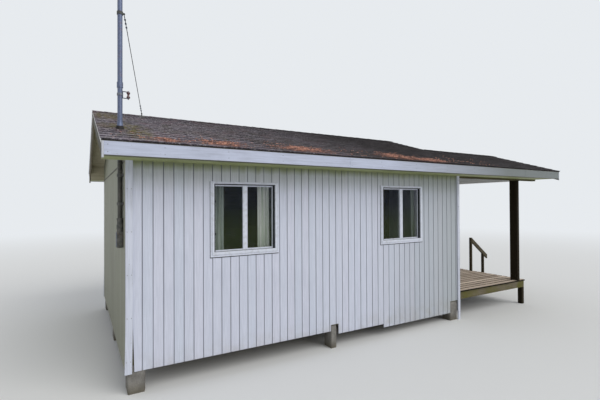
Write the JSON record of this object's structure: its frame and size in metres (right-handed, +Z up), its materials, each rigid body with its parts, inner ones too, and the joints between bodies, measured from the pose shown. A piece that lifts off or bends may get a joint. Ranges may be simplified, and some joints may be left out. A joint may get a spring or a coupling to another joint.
{
  "type": "boathouse cabin",
  "caption": "Small white timber boathouse cabin on piers with a shingled gable roof, an end porch with deck and steps, and a stayed service mast.",
  "frame": {"origin": "middle of the whole footprint, on the ground under the piers", "axes": "+X along the ridge towards the porch, +Y from the front wall to the back wall, +Z up"},
  "size_m": [7.487, 4.5, 4.114],
  "materials": {
    "concrete": "rough, stained",
    "raw_timber": "sawn, unpainted",
    "white_siding": "painted, weathered",
    "white_trim": "painted, slightly dirty",
    "window_white": "satin",
    "glass": "clear",
    "cloth": "thin woven",
    "shingle": "mineral granules, mossy",
    "dark_timber": "weathered",
    "deck_timber": "weathered grey",
    "rail_timber": "weathered grey brown",
    "galvanised": "dull zinc, slightly rusty",
    "dark_iron": "dull",
    "porcelain": "glazed",
    "knob_metal": "brushed"
  },
  "bodies": {
    "root": {"piers": "concrete", "floor_beams": "raw_timber", "floor_joists": "raw_timber", "floor": "raw_timber", "front_wall": "raw_timber", "back_wall": "raw_timber", "left_wall": "raw_timber", "right_wall_front": "raw_timber", "right_wall_back": "raw_timber", "right_wall_over_door": "raw_timber", "front_siding": "white_siding", "back_siding": "white_siding", "left_siding": "white_siding", "right_siding": "white_siding", "gable_siding": "white_siding", "corner_boards": "white_trim", "gable_flashings": "galvanised", "window_frames": "window_white", "window_sashes": "window_white", "window_glass": "glass", "curtain_rods": "dark_iron", "curtains": "cloth", "door_frame": "white_trim", "door_leaf": "white_trim", "door_hinges": "galvanised", "door_knobs": "knob_metal", "rafters": "raw_timber", "ridge_boards": "raw_timber", "roof_boards": "raw_timber", "shingles": "shingle", "ridge_caps": "shingle", "fascias": "white_trim", "rake_boards": "white_trim", "soffits": "white_trim", "porch_rafters": "dark_timber", "porch_roof_boards": "raw_timber", "porch_shingles": "shingle", "porch_gable": "white_siding", "porch_beams": "dark_timber", "porch_posts": "dark_timber", "deck_boards": "deck_timber", "deck_frame": "deck_timber", "deck_legs": "deck_timber", "stair_strings": "deck_timber", "stair_treads": "deck_timber", "rail_posts": "rail_timber", "handrails": "rail_timber", "mast": "galvanised", "weatherhead": "galvanised", "roof_boot": "galvanised", "stay_wire": "galvanised", "stay_fittings": "galvanised", "mast_insulator": "porcelain", "conduit_body": "dark_iron", "mast_straps": "dark_iron"}
  },
  "joints": []
}
